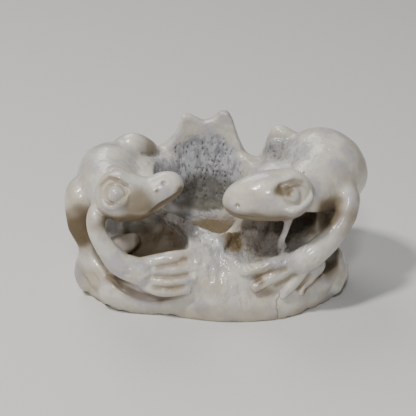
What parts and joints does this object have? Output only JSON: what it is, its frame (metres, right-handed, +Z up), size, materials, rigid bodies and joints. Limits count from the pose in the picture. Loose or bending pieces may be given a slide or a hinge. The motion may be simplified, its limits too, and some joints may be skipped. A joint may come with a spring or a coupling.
{
  "type": "carved antler frog figurine",
  "caption": "Antler burr carved as frogs that face each other across a deep hollow, with arms and webless hands reaching down a flat-bottomed oval foot",
  "frame": {"origin": "middle of the box of the whole carving, on the ground under its flat underside", "axes": "+X to the right as the frogs' faces are seen from the front, +Y to the back with the tall crest, +Z up"},
  "size_m": [0.0608, 0.0392, 0.0318],
  "materials": {
    "antler": "polished cream antler, a bone: spongy grey core with fine dark pores in the hollows, warm tan in the grooves"
  },
  "bodies": {
    "root": {"carving": "antler"}
  },
  "joints": []
}
